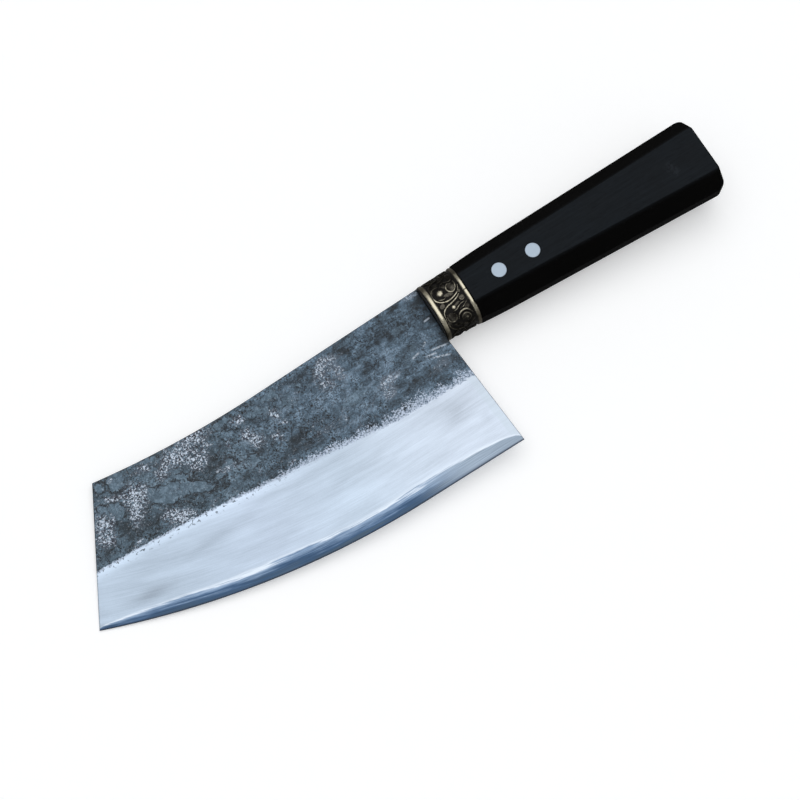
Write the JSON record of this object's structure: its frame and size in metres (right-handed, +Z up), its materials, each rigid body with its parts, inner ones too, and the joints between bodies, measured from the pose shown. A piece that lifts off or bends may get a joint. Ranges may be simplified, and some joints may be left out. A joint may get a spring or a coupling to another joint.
{
  "type": "chinese cleaver",
  "caption": "Forged slicing cleaver with a broad curved blade, a partial tang, an ornamented brass ferrule and a riveted octagonal wooden handle.",
  "frame": {"origin": "middle of the knife's outline, on the surface that it lies on", "axes": "+X along the handle from the tip to the butt, +Y from the edge to the spine, +Z up, square to the blade"},
  "size_m": [0.3156, 0.0832, 0.0215],
  "materials": {
    "forged_steel": "dark forge scale on the upper half, satin ground steel below it and a darker polished edge bevel",
    "antique_brass": "cast relief, bright on the rims and darkened in the hollows",
    "dark_wood": "black stained, oiled satin",
    "cast_resin": "cured filling resin, matt",
    "rivet_metal": "ground flush, matt"
  },
  "bodies": {
    "root": {"blade": "forged_steel", "ferrule": "antique_brass", "handle": "dark_wood", "resin_bed": "cast_resin", "front_rivet_post": "rivet_metal", "front_rivet_socket": "rivet_metal", "rear_rivet_post": "rivet_metal", "rear_rivet_socket": "rivet_metal"}
  },
  "joints": []
}
